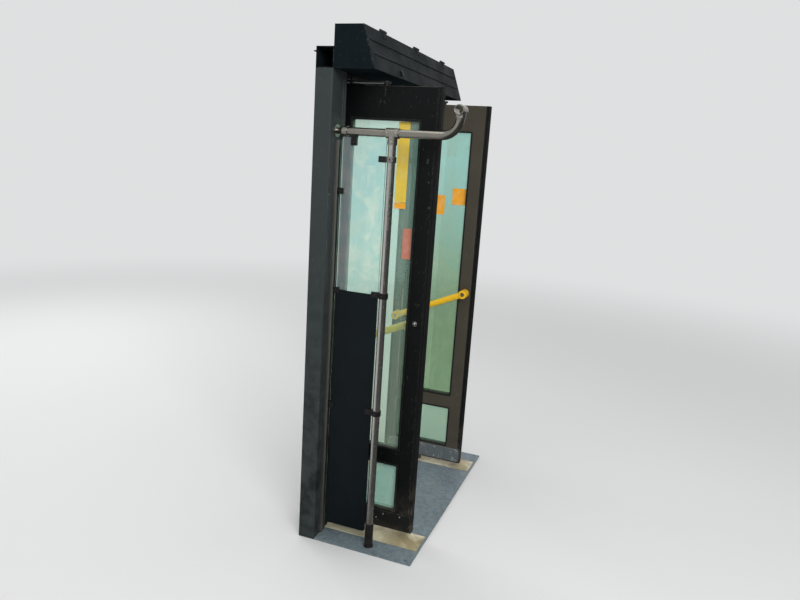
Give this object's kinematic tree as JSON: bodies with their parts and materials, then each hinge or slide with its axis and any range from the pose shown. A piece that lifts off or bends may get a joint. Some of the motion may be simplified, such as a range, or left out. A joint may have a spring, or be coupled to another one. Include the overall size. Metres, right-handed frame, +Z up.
{
  "type": "bus exit door",
  "caption": "Rear exit doorway of a city bus: portal with header, glazed leaves that swing and glide inwards, and a glazed guard screen with its stanchion and rail.",
  "frame": {"origin": "centre of the doorway, on the underside of the threshold and floor plate", "axes": "+X to the rear of the bus, +Y out to the kerb, +Z up"},
  "size_m": [1.2, 0.618, 2.1728],
  "materials": {
    "dark_frame": "satin near-black powder coat, brownish where lit",
    "glass": "green tinted safety glass",
    "rubber": "matt black rubber",
    "steel_tube": "satin stainless tube",
    "yellow_paint": "worn yellow powder coat",
    "black_plastic": "moulded black clamps",
    "dark_panel": "blue-black laminate",
    "aluminium": "worn aluminium extrusion",
    "floor_covering": "speckled blue-grey floor covering",
    "cream_strip": "dirty cream floor strip",
    "header_paint": "dark grey cover paint",
    "arm_steel": "black painted steel arm",
    "bristle": "black nylon bristles",
    "bolt_steel": "bright plated fastener",
    "engine_cast": "plain cast block",
    "kick_black": "gloss black sheet, worn at its edges"
  },
  "bodies": {
    "root": {"floor_plate": "floor_covering", "threshold": "aluminium", "threshold_nosing": "yellow_paint", "front_post": "dark_frame", "rear_post": "dark_frame", "top_beam": "dark_frame", "header_seal": "rubber", "header_housing": "header_paint", "cover_hinges": "arm_steel", "door_engine": "engine_cast", "floor_strips": "cream_strip", "stop_strips": "dark_frame", "stop_seals": "rubber", "upper_bearings": "arm_steel", "lower_bearings": "arm_steel", "guide_tracks": "aluminium", "guard_stanchion": "steel_tube", "guard_foot": "black_plastic", "guard_cross_rail": "steel_tube", "guard_wall_socket": "steel_tube", "guard_rail_tee": "steel_tube", "guard_rail_clamp": "steel_tube", "guard_wall_channel": "aluminium", "guard_panel": "dark_panel", "guard_glass": "glass", "guard_stanchion_clamps": "black_plastic", "guard_channel_clamps": "black_plastic", "guard_rail_hanger": "black_plastic"},
    "header_cover": {"header_cover": "header_paint", "cover_latches": "black_plastic"},
    "front_arms": {"front_upper_arm": "arm_steel", "front_lower_arm": "arm_steel"},
    "front_leaf": {"front_leaf_frame": "dark_frame", "front_leaf_gaskets": "rubber", "front_lower_glass": "glass", "front_upper_glass": "glass", "front_leading_edge": "rubber", "front_trailing_edge": "rubber", "front_floor_brush": "bristle", "front_kick_plate": "kick_black", "front_shoe_plate": "kick_black", "front_handle": "yellow_paint", "front_handle_bolts": "bolt_steel", "front_roller_bracket": "arm_steel", "front_guide_roller": "black_plastic"},
    "rear_arms": {"rear_upper_arm": "arm_steel", "rear_lower_arm": "arm_steel"},
    "rear_leaf": {"rear_leaf_frame": "dark_frame", "rear_leaf_gaskets": "rubber", "rear_lower_glass": "glass", "rear_upper_glass": "glass", "rear_leading_edge": "rubber", "rear_trailing_edge": "rubber", "rear_floor_brush": "bristle", "rear_kick_plate": "kick_black", "rear_shoe_plate": "kick_black", "rear_handle": "yellow_paint", "rear_handle_bolts": "bolt_steel", "rear_roller_bracket": "arm_steel", "rear_guide_roller": "black_plastic"}
  },
  "joints": [
    {"name": "front_arm", "type": "hinge", "parent": "root", "child": "front_arms", "pos_m": [-0.4, 0, 1], "axis": [0, 0, 1], "range_deg": [0, 90]},
    {"name": "front_leaf_turn", "type": "hinge", "parent": "front_arms", "child": "front_leaf", "pos_m": [-0.4, -0.1885, 1], "axis": [0, 0, 1], "range_deg": [-180, 0]},
    {"name": "rear_arm", "type": "hinge", "parent": "root", "child": "rear_arms", "pos_m": [0.4, 0, 1], "axis": [0, 0, 1], "range_deg": [-90, 0]},
    {"name": "rear_leaf_turn", "type": "hinge", "parent": "rear_arms", "child": "rear_leaf", "pos_m": [0.4, -0.1885, 1], "axis": [0, 0, 1], "range_deg": [0, 180]},
    {"name": "cover_flap", "type": "hinge", "parent": "root", "child": "header_cover", "pos_m": [0, -0.15962, 2.16727], "axis": [-1, 0, 0], "range_deg": [0, 75]}
  ],
  "couplings": [
    {"joint": "front_leaf_turn", "follows": "front_arm", "ratio": -2},
    {"joint": "rear_arm", "follows": "front_arm", "ratio": -1},
    {"joint": "rear_leaf_turn", "follows": "front_arm", "ratio": 2}
  ]
}
